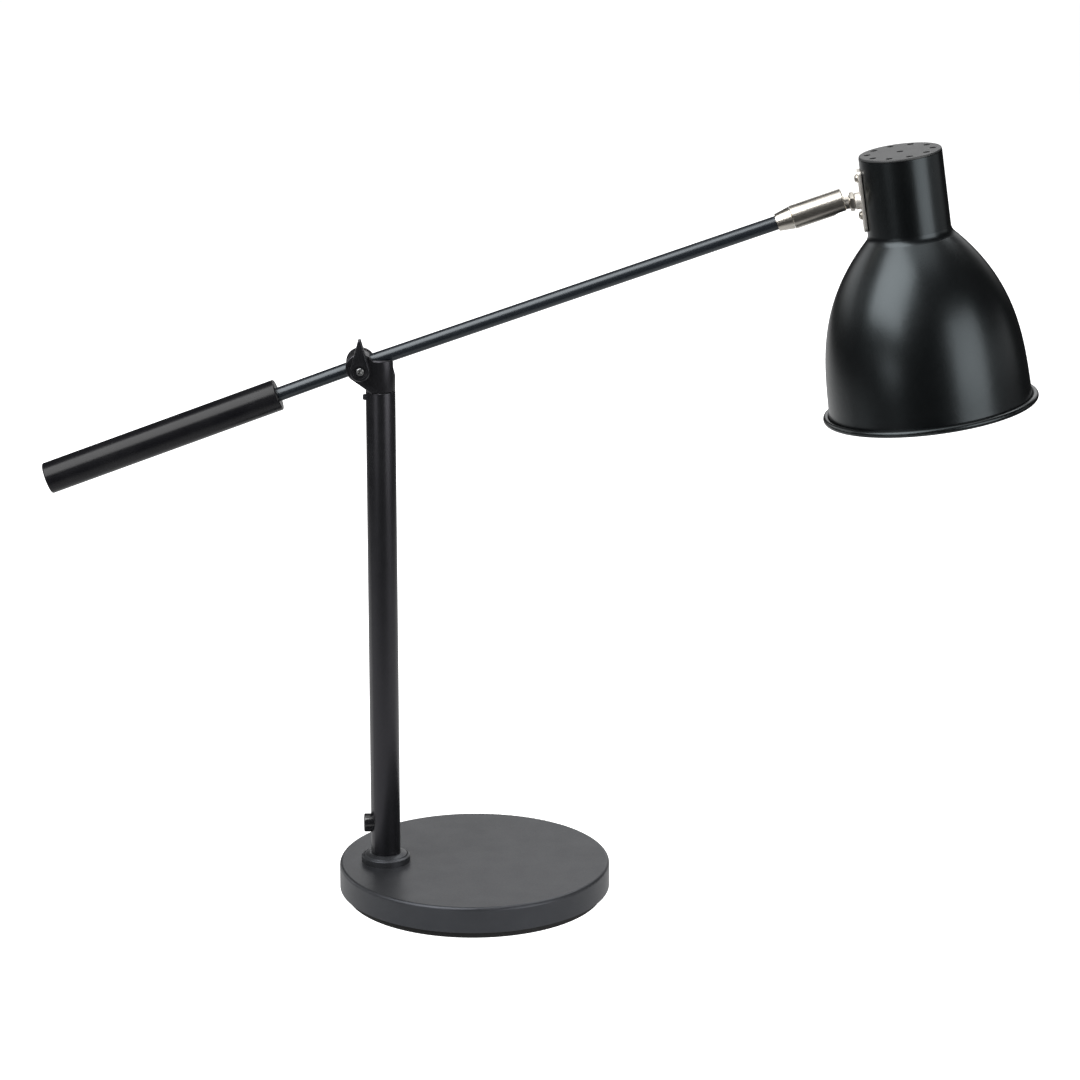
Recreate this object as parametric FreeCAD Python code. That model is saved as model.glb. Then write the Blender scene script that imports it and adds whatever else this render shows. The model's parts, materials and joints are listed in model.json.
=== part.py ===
import FreeCAD, Part
import math, os
from FreeCAD import Vector, Rotation, Placement

# Counterweight desk lamp: round weighted base, upright column, balanced arm and bell shade.
# Millimetres. The origin is on the floor under the middle of the base, +Z is up and
# +X is the side of the shade. Lengths and angles below are the ones a maker would set.

# --- base -----------------------------------------------------------------------------
BASE_DIAMETER = 175.0
BASE_HEIGHT = 22.0
COVER_WALL = 2.0
COVER_EDGE_RADIUS = 2.2
COVER_LIFT = 5.2            # lower edge of the cover above the floor
PAD_INSET = 4.0             # edge of the pad inside the cover's edge
PAD_THICKNESS = 4.0
WEIGHT_CLEARANCE = 0.6      # between the iron weight and the cover's wall
INLET_ANGLE = 120.0         # where the cable hole is, turned from +X
INLET_BORE = 5.6
INLET_FLANGE = 11.0
INLET_WALL = 1.3

# --- column ---------------------------------------------------------------------------
COLUMN_INSET = 30.0         # column axis in from the back edge of the base
COLUMN_DIAMETER = 18.9
COLUMN_WALL = 1.2
COLUMN_LENGTH = 316.6
COLUMN_EDGE = 0.5
FLANGE_DIAMETER = 31.5
FLANGE_HEIGHT = 5.9
NIPPLE_DIAMETER = 10.0
NIPPLE_BORE = 6.4
PLUG_LENGTH = 12.0
FOOT_WASHER_DIAMETER = 24.0
FOOT_WASHER_THICKNESS = 1.5
FOOT_NUT_WIDTH = 14.0       # across the flats
FOOT_NUT_HEIGHT = 4.0

# --- push switch ----------------------------------------------------------------------
BUTTON_DIAMETER = 12.0
BUTTON_PROUD = 4.5          # beyond the column's surface
BUTTON_RISE = 26.0          # button axis above the base's top
BUTTON_TRAVEL = 2.0
BUTTON_EDGE = 1.0
SWITCH_WIDTH = 8.4
SWITCH_HEIGHT = 14.0
PLUNGER_DIAMETER = 3.0

# --- swivelling bracket -----------------------------------------------------------------
SEAM_GAP = 0.2              # between the column's top and the bracket
SLEEVE_HEIGHT = 20.7
SLEEVE_EDGE = 0.6
SPIGOT_LENGTH = 16.0
SPIGOT_CLEARANCE = 0.08
GROOVE_DEPTH = 1.0
GROOVE_WIDTH = 2.9
RETAINER_DROP = 4.7         # retaining screw's axis below the column's top
RETAINER_HEAD = 4.0
RETAINER_HEAD_HEIGHT = 2.1
RETAINER_TIP = 2.5
PIVOT_SETBACK = 12.5        # arm pivot behind the column's axis
PIVOT_RISE = 16.4           # arm pivot above the column's top
EAR_RADIUS = 9.2
EAR_THICKNESS = 3.2
EAR_EDGE = 0.4
LIP_RADIUS = 2.0            # rounding where the arm's slot opens upwards
WEB_SLOPE = 36.5
WIRE_BORE = 7.0
ARM_LOWEST = -5.0           # the arm's lowest and highest angles
ARM_HIGHEST = 75.0

# --- pivot and wing knob ----------------------------------------------------------------
BOLT_DIAMETER = 5.0
BOLT_CLEARANCE = 0.08
HUB_DIAMETER = 17.6
HUB_WIDTH = 11.2
HUB_CLEARANCE = 0.4
FRICTION_DISC = 0.5
PIVOT_NUT_WIDTH = 8.0
PIVOT_NUT_HEIGHT = 4.0
KNOB_RADIUS = 6.2
KNOB_TIP = 20.6             # point of the wing above the pivot
KNOB_TIP_RADIUS = 1.0
KNOB_THICKNESS = 5.4
KNOB_BOSS_DIAMETER = 11.2
KNOB_BOSS_LENGTH = 3.2
KNOB_WASHER = 1.0
KNOB_RECESS_DIAMETER = 8.8
KNOB_RECESS_DEPTH = 1.6
HEX_SOCKET = 2.5

# --- arm and counterweight --------------------------------------------------------------
ARM_DIAMETER = 9.0
ARM_WALL = 1.0
ARM_RISE = 19.07            # slope of the arm, up towards the shade
TAIL_DROP = 1.16            # the tail leaves the hub this much steeper
ARM_LENGTH = 276.7           # pivot to the swivel's collar
ROD_GRIP = 3.6              # tube and rod stop this far from the pivot
SLOT_CLEARANCE = 0.4
TAIL_LENGTH = 55.2           # pivot to the counterweight
COUNTERWEIGHT_DIAMETER = 20.2
COUNTERWEIGHT_LENGTH = 157.1
COUNTERWEIGHT_EDGE = 1.0
COUNTERWEIGHT_SOCKET = 25.0   # depth of the rod in the counterweight

# --- swivel and ball joint --------------------------------------------------------------
COLLAR_LENGTH = 9.9
COLLAR_START_DIAMETER = 11.2
BARREL_DIAMETER = 15.2
BARREL_LENGTH = 33.9
BARREL_WALL = 1.45
SWIVEL_GAP = 0.2
SWIVEL_BOLT_DIAMETER = 8.0
SWIVEL_BOLT_HEAD = 11.0
SWIVEL_HEAD_HEIGHT = 1.8
BARREL_PLUG_LENGTH = 3.3
TUBE_SOCKET = 3.6           # depth of the arm tube in the collar
BALL_DIAMETER = 12.0
BALL_DEPTH = 9.4            # ball centre inside the barrel's mouth
BALL_CLEARANCE = 0.05
STEM_DIAMETER = 8.6
STEM_THREAD = 7.0
STEM_BORE = 4.0
STEM_CLEARANCE = 0.4
STEM_LOWEST = 50.0          # furthest the stem folds down from the barrel
STEM_RISE = 7.71            # slope of the stem as it stands
HEAD_ROLL = -2.28           # barrel turned about the arm as it stands
LOCK_NUT_WIDTH = 10.6
LOCK_NUT_HEIGHT = 3.0
LOCK_NUT_PLACE = 12.7       # from the ball centre

# --- shade and its fixing ---------------------------------------------------------------
BOSS_DIAMETER = 10.8
BOSS_LENGTH = 3.6
BOSS_PLACE = 15.9           # from the ball centre
PLATE_LENGTH = 39.0
PLATE_WIDTH = 13.0
PLATE_THICKNESS = 2.1
PLATE_SEAT = 0.3            # depth of the neck's hollow in the plate
PLATE_DROP = 27.5           # stem axis below the cap
SCREW_ABOVE = 14.2           # plate screws above and below the stem
SCREW_BELOW = 9.5
SCREW_DIAMETER = 3.0
SCREW_HEAD = 5.4
SCREW_HEAD_HEIGHT = 2.2
NECK_DIAMETER = 52.6
NECK_LENGTH = 49.6
SHADE_WALL = 1.0
SHOULDER_RADIUS = 7.5
SHOULDER_ANGLE = 43.3       # where the shoulder turns into the bell
BELL_DIAMETER = 128.9
BELL_LENGTH = 164.7         # cap to the middle of the rolled rim
BELL_FLARE = 1.85           # slope of the bell at its mouth
SHOULDER_PULL = 53.4           # pull of the curve at the shoulder and at the mouth
MOUTH_PULL = 33.8
RIM_RADIUS = 2.1
CAP_DIAMETER = 52.2
CAP_THICKNESS = 1.2
CAP_EDGE = 0.7
CAP_SEAM = 0.3
CAP_SKIRT = 6.0
CAP_SKIRT_WALL = 0.9
VENT_DIAMETER = 4.4
VENT_CIRCLE = 41.2
VENT_COUNT = 10
VENT_TURN = 5.0

# --- lampholder and bulb ----------------------------------------------------------------
STRAP_THICKNESS = 1.5
STRAP_WIDTH = 13.0
STRAP_TOP = 9.0             # strap below the cap's top
STRAP_LENGTH = 37.0
STRAP_OVERHANG = 8.0
HOLDER_NUT_WIDTH = 14.0
HOLDER_NUT_HEIGHT = 3.0
HOLDER_DIAMETER = 39.0
HOLDER_LENGTH = 46.0
HOLDER_DOME = 13.0
HOLDER_TAP_DEPTH = 9.0
SOCKET_DEPTH = 25.0
BULB_CAP_DIAMETER = 26.2
BULB_CAP_LENGTH = 26.0
BULB_CAP_WALL = 0.5
BULB_DIAMETER = 60.0
BULB_LENGTH = 90.0          # glass alone
BULB_WALL = 1.0

FINE = 0.1                  # small face to face clearance between moving pieces

# --- places worked out from the sizes ----------------------------------------------------
UP = Vector(0, 0, 1)
TOWARD_BACK = Vector(0, 1, 0)
COLUMN_SETBACK = BASE_DIAMETER / 2 - COLUMN_INSET
COLUMN_R = COLUMN_DIAMETER / 2
COLUMN_BORE_R = COLUMN_R - COLUMN_WALL
COLUMN_TOP = BASE_HEIGHT + COLUMN_LENGTH
COLUMN_AXIS = Vector(-COLUMN_SETBACK, 0, 0)
BUTTON_Z = BASE_HEIGHT + BUTTON_RISE
SLEEVE_FOOT = COLUMN_TOP + SEAM_GAP
SLEEVE_TOP = SLEEVE_FOOT + SLEEVE_HEIGHT
RETAINER_Z = COLUMN_TOP - RETAINER_DROP
PIVOT = Vector(-COLUMN_SETBACK - PIVOT_SETBACK, 0, COLUMN_TOP + PIVOT_RISE)
EAR_GAP = HUB_WIDTH / 2 + FRICTION_DISC + FINE
EAR_FACE = EAR_GAP + EAR_THICKNESS
ARM_R = ARM_DIAMETER / 2
SLOT_HALF = ARM_R + SLOT_CLEARANCE
BOLT_R = BOLT_DIAMETER / 2
KNOB_BACK = EAR_FACE + FINE + KNOB_WASHER
KNOB_FRONT = KNOB_BACK + KNOB_BOSS_LENGTH + KNOB_THICKNESS
COLLAR_END = ARM_LENGTH + COLLAR_LENGTH
BARREL_START = COLLAR_END + SWIVEL_GAP
BARREL_END = BARREL_START + BARREL_LENGTH
BARREL_R = BARREL_DIAMETER / 2
BARREL_BORE_R = BARREL_R - BARREL_WALL
BALL_R = BALL_DIAMETER / 2
BALL_PLACE = BARREL_END - BALL_DEPTH
SOCKET_R = BALL_R + BALL_CLEARANCE
STEM_R = STEM_DIAMETER / 2
MOUTH_R = STEM_R + STEM_CLEARANCE
NECK_R = NECK_DIAMETER / 2
NECK_BORE_R = NECK_R - SHADE_WALL
PLATE_OUTER = NECK_R - PLATE_SEAT + PLATE_THICKNESS
PLATE_PLACE = BOSS_PLACE + BOSS_LENGTH
HOLDER_TOP = STRAP_TOP + STRAP_THICKNESS
HOLDER_MOUTH = HOLDER_TOP + HOLDER_LENGTH
BULB_CAP_TOP = HOLDER_MOUTH - SOCKET_DEPTH
GLASS_TOP = BULB_CAP_TOP + BULB_CAP_LENGTH


def slope(degrees):
    """Direction in the lamp's plane that rises by this angle towards the shade."""
    angle = math.radians(degrees)
    return Vector(math.cos(angle), 0, math.sin(angle))


def axes_at(origin, along, upward):
    """Local frame whose Z runs along a piece and whose X points to its upper side."""
    side = along.cross(upward)
    return Placement(origin, Rotation(upward, side, along, "ZXY"))


ARM_FRAME = axes_at(PIVOT, slope(ARM_RISE), slope(ARM_RISE + 90))
TAIL_SLOPE = ARM_RISE + TAIL_DROP
TAIL_FRAME = axes_at(PIVOT, -slope(TAIL_SLOPE), slope(TAIL_SLOPE + 90))
ROLL = Rotation(slope(ARM_RISE), HEAD_ROLL)
SWIVEL_FRAME = axes_at(PIVOT, slope(ARM_RISE), ROLL.multVec(slope(ARM_RISE + 90)))
BALL_CENTRE = PIVOT + slope(ARM_RISE) * BALL_PLACE
STEM_LINE = ROLL.multVec(slope(STEM_RISE))
STEM_UPPER = ROLL.multVec(slope(STEM_RISE + 90))
STEM_FRAME = axes_at(BALL_CENTRE, STEM_LINE, STEM_UPPER)
SHADE_TOP = BALL_CENTRE + STEM_LINE * (PLATE_PLACE + PLATE_OUTER) + STEM_UPPER * PLATE_DROP
SHADE_FRAME = axes_at(SHADE_TOP, -STEM_UPPER, STEM_LINE)


# --- small tools -------------------------------------------------------------------------
def placed(shape, frame):
    """The shape moved from a local frame to its place on the lamp."""
    moved = shape.copy()
    moved.Placement = frame.multiply(moved.Placement)
    return moved


def disc(radius, low, high):
    """Cylinder about the local Z axis between two heights."""
    return Part.makeCylinder(radius, high - low, Vector(0, 0, low), UP)


def ring(outer, inner, low, high):
    """Round ring about the local Z axis."""
    return disc(outer, low, high).cut(disc(inner, low - 1, high + 1))


def turned(outline):
    """Solid turned about the local Z axis from (radius, height) corners."""
    corners = [Vector(radius, 0, height) for radius, height in outline]
    return turned_edges(Part.makePolygon(corners + corners[:1]).Edges)


def turned_edges(edges):
    """Solid turned about the local Z axis from the edges of a closed outline."""
    face = Part.Face(Part.Wire(Part.__sortEdges__(edges)))
    return face.revolve(Vector(0, 0, 0), UP, 360)


def crosswise(radius, place, near, far):
    """Cylinder along Y through a place, between two depths."""
    start = Vector(place.x, near, place.z)
    return Part.makeCylinder(radius, far - near, start, TOWARD_BACK)


def plate(corners, near, far):
    """Flat plate with an outline in the lamp's plane, between two depths."""
    points = [Vector(x, near, z) for x, z in corners]
    face = Part.Face(Part.makePolygon(points + points[:1]))
    return face.extrude(Vector(0, far - near, 0))


def block(x, y, z):
    """Box from three (low, high) pairs."""
    size = [x[1] - x[0], y[1] - y[0], z[1] - z[0]]
    return Part.makeBox(size[0], size[1], size[2], Vector(x[0], y[0], z[0]))


def hexagon(width, low, high):
    """Hexagonal bar about the local Z axis, from its width across the flats."""
    corner = width / math.sqrt(3)
    points = [Vector(corner * math.cos(math.radians(a)), corner * math.sin(math.radians(a)), low)
              for a in range(0, 420, 60)]
    return Part.Face(Part.makePolygon(points)).extrude(Vector(0, 0, high - low))


def hex_nut(width, bore, low, high):
    """Nut with its corners turned down at both ends."""
    corner = width / math.sqrt(3)
    bevel = corner - width / 2
    envelope = turned([(0, low), (width / 2, low), (corner + 0.01, low + bevel * 0.6),
                       (corner + 0.01, high - bevel * 0.6), (width / 2, high), (0, high)])
    return hexagon(width, low, high).common(envelope).cut(disc(bore, low - 1, high + 1))


def rim_edges(shape, radius, height):
    """Circular edges of this radius that lie at this height."""
    return [e for e in shape.Edges if isinstance(e.Curve, Part.Circle)
            and abs(e.Curve.Radius - radius) < 1e-6 and abs(e.Curve.Center.z - height) < 1e-6]


# --- base --------------------------------------------------------------------------------
def inlet_frame():
    """Frame of the cable hole: origin on the base's axis, Z outwards."""
    angle = math.radians(INLET_ANGLE)
    middle = (COVER_LIFT + BASE_HEIGHT - COVER_WALL) / 2
    return axes_at(Vector(0, 0, middle), Vector(math.cos(angle), math.sin(angle), 0), UP)


def base_cover():
    """Pressed round cover with a softly rounded upper edge."""
    radius = BASE_DIAMETER / 2
    shell = disc(radius, COVER_LIFT, BASE_HEIGHT)
    shell = shell.makeFillet(COVER_EDGE_RADIUS, rim_edges(shell, radius, BASE_HEIGHT))
    shell = shell.cut(disc(radius - COVER_WALL, COVER_LIFT - 1, BASE_HEIGHT - COVER_WALL))
    hole = disc(NIPPLE_DIAMETER / 2 + FINE, 0, BASE_HEIGHT + 1)
    hole.translate(COLUMN_AXIS)
    inlet = placed(disc(INLET_BORE / 2 + INLET_WALL, radius / 2, radius + 1), inlet_frame())
    return shell.cut(hole).cut(inlet)


def cable_channel():
    """Room for the cable from the column's foot to the inlet."""
    inlet = inlet_frame()
    reach = BASE_DIAMETER / 2 - COVER_WALL
    goal = inlet.multVec(Vector(0, 0, reach - INLET_FLANGE / 2))
    run = Vector(goal.x, goal.y, 0) - COLUMN_AXIS
    top = inlet.Base.z + INLET_FLANGE / 2
    trench = block((0, run.Length), (-INLET_FLANGE / 2, INLET_FLANGE / 2), (0, top))
    turn = math.degrees(math.atan2(run.y, run.x))
    trench.Placement = Placement(COLUMN_AXIS, Rotation(UP, turn))
    pocket = placed(disc(INLET_FLANGE / 2 + FINE, reach - INLET_FLANGE, reach + 1), inlet)
    return trench.fuse(pocket)


def base_weight():
    """Cast iron disc that fills the cover, hollowed for the foot nut and the cable."""
    radius = BASE_DIAMETER / 2 - COVER_WALL - WEIGHT_CLEARANCE
    body = disc(radius, PAD_THICKNESS, BASE_HEIGHT - COVER_WALL)
    shaft = disc(NIPPLE_DIAMETER / 2 + FINE, 0, BASE_HEIGHT)
    recess = disc(FOOT_WASHER_DIAMETER / 2 + 2, 0, foot_washer_top())
    body = body.cut(shaft.fuse(recess).translated(COLUMN_AXIS))
    return body.cut(cable_channel())


def base_pad():
    """Soft pad under the base, with an eased lower edge."""
    radius = BASE_DIAMETER / 2 - PAD_INSET
    pad = disc(radius, 0, PAD_THICKNESS)
    return pad.makeChamfer(0.6, rim_edges(pad, radius, 0))


def cable_inlet():
    """Rubber bush in the cover's wall that the cable would pass through."""
    bore = INLET_BORE / 2
    neck = bore + INLET_WALL
    flange = INLET_FLANGE / 2
    outer = BASE_DIAMETER / 2
    inner = outer - COVER_WALL
    wall = placed(disc(outer, 0, BASE_HEIGHT).cut(disc(inner, -1, BASE_HEIGHT + 1)), Placement())
    bush = turned([(bore, inner - 1.5), (flange - 0.3, inner - 1.5), (flange, inner - 1.2),
                   (flange, outer + 1.0), (flange - 1.0, outer + 1.6), (bore, outer + 1.6)])
    keep = placed(disc(neck, inner - 3, outer + 3), inlet_frame())
    return placed(bush, inlet_frame()).cut(wall.cut(keep))


# --- column ------------------------------------------------------------------------------
def foot_washer_top():
    """Height of the step in the weight that the foot washer bears on."""
    return PAD_THICKNESS + FOOT_NUT_HEIGHT + FOOT_WASHER_THICKNESS + 3.0


def column_flange():
    """Stepped ring that covers the joint of column and base."""
    low = BASE_HEIGHT
    high = BASE_HEIGHT + FLANGE_HEIGHT
    edge = FLANGE_DIAMETER / 2
    inner = COLUMN_R
    width = edge - inner
    body = turned([(inner, low), (edge, low), (edge, high - 2.2), (edge - 0.04 * width, high - 2.0),
                   (edge - 0.24 * width, high - 1.3), (edge - 0.29 * width, high - 1.6),
                   (edge - 0.34 * width, high - 1.0), (edge - 0.74 * width, high - 0.15),
                   (edge - 0.82 * width, high), (inner, high)])
    return body.translated(COLUMN_AXIS)


def button_hole():
    """Clear hole through the column's wall for the push button."""
    start = Vector(-COLUMN_SETBACK, 0, BUTTON_Z)
    return Part.makeCylinder(BUTTON_DIAMETER / 2 + 0.25, COLUMN_R + 1, start, Vector(-1, 0, 0))


def retainer_frame():
    """Frame of the retaining screw: origin on the column's axis, Z outwards."""
    return axes_at(Vector(-COLUMN_SETBACK, 0, RETAINER_Z), Vector(-1, 0, 0), UP)


def retainer_seat():
    """Distance from the column's axis at which the retaining screw's head lies flat."""
    head = RETAINER_HEAD / 2 + 0.05
    return math.sqrt(COLUMN_R ** 2 - head ** 2) - 0.02


def column_tube():
    """Upright tube with the button hole and the tapped hole of the retaining screw."""
    tube = ring(COLUMN_R, COLUMN_BORE_R, BASE_HEIGHT, COLUMN_TOP)
    tube = tube.makeChamfer(COLUMN_EDGE, rim_edges(tube, COLUMN_R, COLUMN_TOP))
    tube = tube.translated(COLUMN_AXIS)
    spot = disc(RETAINER_HEAD / 2 + 0.05, retainer_seat(), COLUMN_R + 1)
    tap = disc(RETAINER_TIP / 2, 0, COLUMN_R + 1)
    return tube.cut(button_hole()).cut(placed(spot.fuse(tap), retainer_frame()))


def column_plug():
    """Tapped plug pressed into the foot of the column."""
    plug = ring(COLUMN_BORE_R, NIPPLE_DIAMETER / 2, BASE_HEIGHT, BASE_HEIGHT + PLUG_LENGTH)
    return plug.translated(COLUMN_AXIS)


def column_nipple():
    """Hollow threaded rod that clamps the column to the base."""
    low = foot_washer_top() - FOOT_WASHER_THICKNESS - FOOT_NUT_HEIGHT - 1.0
    rod = ring(NIPPLE_DIAMETER / 2, NIPPLE_BORE / 2, low, BASE_HEIGHT + PLUG_LENGTH)
    return rod.translated(COLUMN_AXIS)


def column_washer():
    """Wide washer under the iron weight."""
    top = foot_washer_top()
    washer = ring(FOOT_WASHER_DIAMETER / 2, NIPPLE_DIAMETER / 2, top - FOOT_WASHER_THICKNESS, top)
    return washer.translated(COLUMN_AXIS)


def column_nut():
    """Nut that draws the column down."""
    top = foot_washer_top() - FOOT_WASHER_THICKNESS
    nut = hex_nut(FOOT_NUT_WIDTH, NIPPLE_DIAMETER / 2, top - FOOT_NUT_HEIGHT, top)
    return nut.translated(COLUMN_AXIS)


# --- push switch --------------------------------------------------------------------------
def switch_frame():
    """Frame of the switch: origin on the column's axis, Z out through the button."""
    return axes_at(Vector(-COLUMN_SETBACK, 0, BUTTON_Z), Vector(-1, 0, 0), UP)


def switch_body():
    """Switch module resting on the far wall of the column, with a well for the plunger."""
    half = SWITCH_WIDTH / 2
    box = block((-SWITCH_HEIGHT / 2, SWITCH_HEIGHT / 2), (-half, half), (-COLUMN_R, 0))
    well = disc(PLUNGER_DIAMETER / 2 + FINE, -plunger_length() - BUTTON_TRAVEL, 1)
    box = placed(box.cut(well), switch_frame())
    bore = disc(COLUMN_BORE_R, BASE_HEIGHT, COLUMN_TOP).translated(COLUMN_AXIS)
    return box.common(bore)


def plunger_length():
    """Part of the plunger that stands in the switch when the button is out."""
    return 1.5


def switch_button():
    """Round push button on a short plunger, with a rounded outer edge."""
    radius = BUTTON_DIAMETER / 2
    face = COLUMN_R + BUTTON_PROUD
    back = BUTTON_TRAVEL + 0.4
    cap = disc(radius, back, face)
    cap = cap.makeFillet(BUTTON_EDGE, rim_edges(cap, radius, face))
    room = disc(COLUMN_BORE_R - 0.3, BASE_HEIGHT, COLUMN_TOP).translated(COLUMN_AXIS)
    window = placed(disc(radius + 0.01, 0, face + 1), switch_frame())
    plunger = disc(PLUNGER_DIAMETER / 2, -plunger_length(), back + 1)
    return placed(cap.fuse(plunger), switch_frame()).common(room.fuse(window))


# --- bracket -----------------------------------------------------------------------------
def swept_slot(lowest, highest, reach):
    """Space that a round arm sweeps about the pivot between two slopes."""
    corners = [(PIVOT.x, PIVOT.z)]
    for part in range(4):
        tip = PIVOT + slope(lowest + (highest - lowest) * part / 3) * reach
        corners.append((tip.x, tip.z))
    fan = plate(corners, -SLOT_HALF, SLOT_HALF)
    low_arm = Part.makeCylinder(SLOT_HALF, reach, PIVOT, slope(lowest))
    high_arm = Part.makeCylinder(SLOT_HALF, reach, PIVOT, slope(highest))
    return fan.fuse([low_arm, high_arm]).removeSplitter()


def bracket_blank():
    """Sleeve and two ears before they are cut: round about the pivot, straight web below."""
    sleeve = disc(COLUMN_R, SLEEVE_FOOT, SLEEVE_TOP).translated(COLUMN_AXIS)
    sleeve = sleeve.makeChamfer(SLEEVE_EDGE, rim_edges(sleeve, COLUMN_R, SLEEVE_TOP))
    sleeve = sleeve.makeChamfer(SLEEVE_EDGE / 2, rim_edges(sleeve, COLUMN_R, SLEEVE_FOOT))
    web = math.radians(WEB_SLOPE)
    touch_x = PIVOT.x - EAR_RADIUS * math.sin(web)
    touch_z = PIVOT.z - EAR_RADIUS * math.cos(web)
    foot_x = touch_x + (touch_z - SLEEVE_FOOT) / math.tan(web)
    cheek = [(touch_x, touch_z), (foot_x, SLEEVE_FOOT), (-COLUMN_SETBACK, SLEEVE_FOOT),
             (-COLUMN_SETBACK, SLEEVE_TOP - SLEEVE_EDGE), (PIVOT.x, SLEEVE_TOP - SLEEVE_EDGE)]
    round_end = crosswise(EAR_RADIUS, PIVOT, -EAR_FACE, EAR_FACE)
    ears = plate(cheek, -EAR_FACE, EAR_FACE).fuse(round_end).removeSplitter()
    rims = [e for e in ears.Edges
            if all(abs(abs(v.Point.y) - EAR_FACE) < 1e-6 for v in e.Vertexes)
            and e.BoundBox.XMin < foot_x - EAR_EDGE and e.BoundBox.YLength < 1e-6
            and e.BoundBox.ZMin > SLEEVE_FOOT - 1e-6]
    rims = [e for e in rims if not (e.BoundBox.ZLength < 1e-6 and e.BoundBox.ZMin < PIVOT.z - EAR_RADIUS)]
    return sleeve.fuse(ears.makeChamfer(EAR_EDGE, rims)).removeSplitter()


def spigot():
    """Round spigot that turns inside the column, grooved for the retaining screw."""
    radius = COLUMN_BORE_R - SPIGOT_CLEARANCE
    foot = COLUMN_TOP - SPIGOT_LENGTH
    groove = radius - GROOVE_DEPTH
    low = RETAINER_Z - GROOVE_WIDTH / 2
    high = RETAINER_Z + GROOVE_WIDTH / 2
    post = turned([(0, foot), (radius - 0.6, foot), (radius, foot + 0.6), (radius, low),
                   (groove, low), (groove, high), (radius, high), (radius, SLEEVE_FOOT),
                   (0, SLEEVE_FOOT)])
    return post.translated(COLUMN_AXIS)


def bracket():
    """Swivelling bracket: spigot, sleeve and the two ears that hold the arm's hub."""
    body = bracket_blank().fuse(spigot()).removeSplitter()
    pocket = crosswise(HUB_DIAMETER / 2 + HUB_CLEARANCE, PIVOT, -EAR_GAP, EAR_GAP)
    front = swept_slot(ARM_LOWEST, ARM_HIGHEST + 15, PIVOT_SETBACK + 2 * COLUMN_R)
    tail_low = ARM_LOWEST + TAIL_DROP + 180
    tail_high = ARM_HIGHEST + TAIL_DROP + 180
    tail = swept_slot(tail_low, tail_high, 2 * EAR_RADIUS)
    bolt_hole = crosswise(BOLT_R + BOLT_CLEARANCE, PIVOT, -2 * EAR_FACE, 2 * EAR_FACE)
    wires = disc(WIRE_BORE / 2, COLUMN_TOP - SPIGOT_LENGTH - 1, PIVOT.z).translated(COLUMN_AXIS)
    body = body.cut(front)
    lips = [e for e in body.Edges
            if e.BoundBox.YLength < 1e-6 and abs(e.BoundBox.ZMin - SLEEVE_TOP) < 1e-6
            and e.BoundBox.ZLength < 1e-6 and abs(abs(e.BoundBox.YMin) - SLOT_HALF) < 1e-6]
    body = body.makeFillet(LIP_RADIUS, lips)
    for space in [pocket, tail, bolt_hole, wires]:
        body = body.cut(space)
    return body


def bracket_screw():
    """Retaining screw: round head outside, dog point in the bracket's groove."""
    seat = retainer_seat()
    tip = COLUMN_BORE_R - SPIGOT_CLEARANCE - GROOVE_DEPTH + 0.15
    head = RETAINER_HEAD / 2
    top = seat + RETAINER_HEAD_HEIGHT
    shank = RETAINER_TIP / 2
    body = turned([(0, tip), (shank, tip), (shank, seat), (head, seat), (head, top - 0.7),
                   (head - 0.6, top), (0, top)])
    drive = hexagon(1.5, top - 1.2, top + 1)
    return placed(body.cut(drive), retainer_frame())


# --- pivot bolt and wing knob --------------------------------------------------------------
def pivot_frame():
    """Frame at the pivot whose Z comes out of the knob's face and whose X points up."""
    return axes_at(PIVOT, Vector(0, -1, 0), UP)


def pivot_bolt():
    """Bolt through both ears and the hub, with a hexagon socket in its front end."""
    front = KNOB_FRONT - KNOB_RECESS_DEPTH + 1.0
    back = -EAR_FACE - PIVOT_NUT_HEIGHT - 0.8
    body = turned([(0, back), (BOLT_R - 0.5, back), (BOLT_R, back + 0.5), (BOLT_R, front - 0.4),
                   (BOLT_R - 0.4, front), (0, front)])
    return placed(body.cut(hexagon(HEX_SOCKET, front - 2.5, front + 1)), pivot_frame())


def pivot_nut():
    """Nut on the far ear."""
    bore = BOLT_R + BOLT_CLEARANCE
    nut = hex_nut(PIVOT_NUT_WIDTH, bore, -EAR_FACE - PIVOT_NUT_HEIGHT, -EAR_FACE)
    return placed(nut, pivot_frame())


def knob_washer():
    """Washer between the near ear and the knob."""
    washer = ring(KNOB_BOSS_DIAMETER / 2, BOLT_R, KNOB_BACK - KNOB_WASHER, KNOB_BACK)
    return placed(washer, pivot_frame())


def teardrop(radius, tip_radius, low, high):
    """Drop-shaped plate: round about the local Z axis, drawn out to a point along X."""
    distance = KNOB_TIP - KNOB_TIP_RADIUS
    lean = math.asin((radius - tip_radius) / distance)
    wide = Vector(radius * math.sin(lean), radius * math.cos(lean), low)
    narrow = Vector(distance + tip_radius * math.sin(lean), tip_radius * math.cos(lean), low)
    wide_low = Vector(wide.x, -wide.y, low)
    narrow_low = Vector(narrow.x, -narrow.y, low)
    heel = Part.Arc(wide, Vector(-radius, 0, low), wide_low).toShape()
    point = Part.Arc(narrow_low, Vector(distance + tip_radius, 0, low), narrow).toShape()
    sides = [Part.makeLine(wide_low, narrow_low), Part.makeLine(narrow, wide)]
    face = Part.Face(Part.Wire([heel, sides[0], point, sides[1]]))
    return face.extrude(Vector(0, 0, high - low))


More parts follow.
